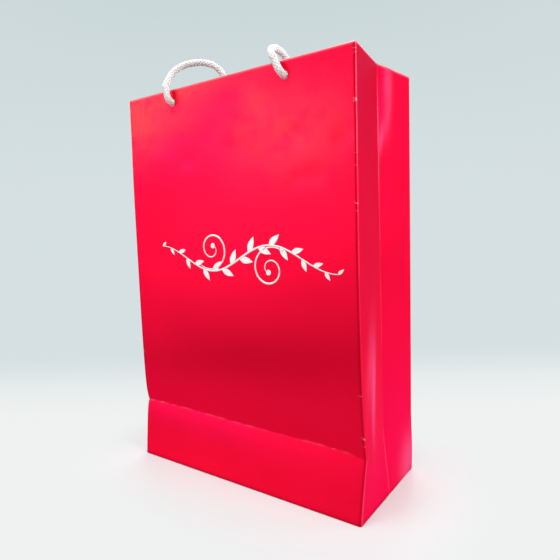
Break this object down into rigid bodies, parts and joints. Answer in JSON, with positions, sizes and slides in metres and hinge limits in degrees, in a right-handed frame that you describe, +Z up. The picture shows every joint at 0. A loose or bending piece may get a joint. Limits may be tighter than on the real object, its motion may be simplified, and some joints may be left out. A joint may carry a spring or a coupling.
{
  "type": "gift bag",
  "caption": "Upright paper gift bag with folded side gussets, a creased base band, a turned-in rim and knotted cord handles that swing over the rim.",
  "frame": {"origin": "middle of the base, on the surface that the bag stands on", "axes": "+Z up, +X to the right across the front panel, the front panel faces -Y"},
  "size_m": [0.22, 0.1104, 0.3433],
  "materials": {
    "laminated_paper": "satin laminate over printed red paper",
    "bare_paper": "unprinted white inside of the sheet",
    "grey_board": "plain pressed board",
    "cord": "braided white cord"
  },
  "bodies": {
    "bag": {"front_panel": "laminated_paper", "back_panel": "laminated_paper", "front_base_band": "laminated_paper", "back_base_band": "laminated_paper", "left_gusset_front": "laminated_paper", "left_gusset_back": "laminated_paper", "right_gusset_front": "laminated_paper", "right_gusset_back": "laminated_paper", "left_gusset_foot_front": "laminated_paper", "left_gusset_foot_back": "laminated_paper", "right_gusset_foot_front": "laminated_paper", "right_gusset_foot_back": "laminated_paper", "side_seam_flap": "bare_paper", "front_hem": "laminated_paper", "back_hem": "laminated_paper", "left_gusset_hem_front": "laminated_paper", "left_gusset_hem_back": "laminated_paper", "right_gusset_hem_front": "laminated_paper", "right_gusset_hem_back": "laminated_paper", "front_handle_card": "grey_board", "back_handle_card": "grey_board", "front_base_flap": "laminated_paper", "back_base_flap": "laminated_paper", "left_base_flap": "bare_paper", "right_base_flap": "bare_paper", "base_board": "grey_board", "front_left_knot": "cord", "front_right_knot": "cord", "back_left_knot": "cord", "back_right_knot": "cord"},
    "front_cord": {"front_handle": "cord"},
    "back_cord": {"back_handle": "cord"}
  },
  "joints": [
    {"name": "front_handle_swing", "type": "hinge", "parent": "bag", "child": "front_cord", "pos_m": [0, -0.0525, 0.322], "axis": [1, 0, 0], "range_deg": [0, 120]},
    {"name": "back_handle_swing", "type": "hinge", "parent": "bag", "child": "back_cord", "pos_m": [0, 0.0525, 0.322], "axis": [-1, 0, 0], "range_deg": [0, 120]}
  ]
}
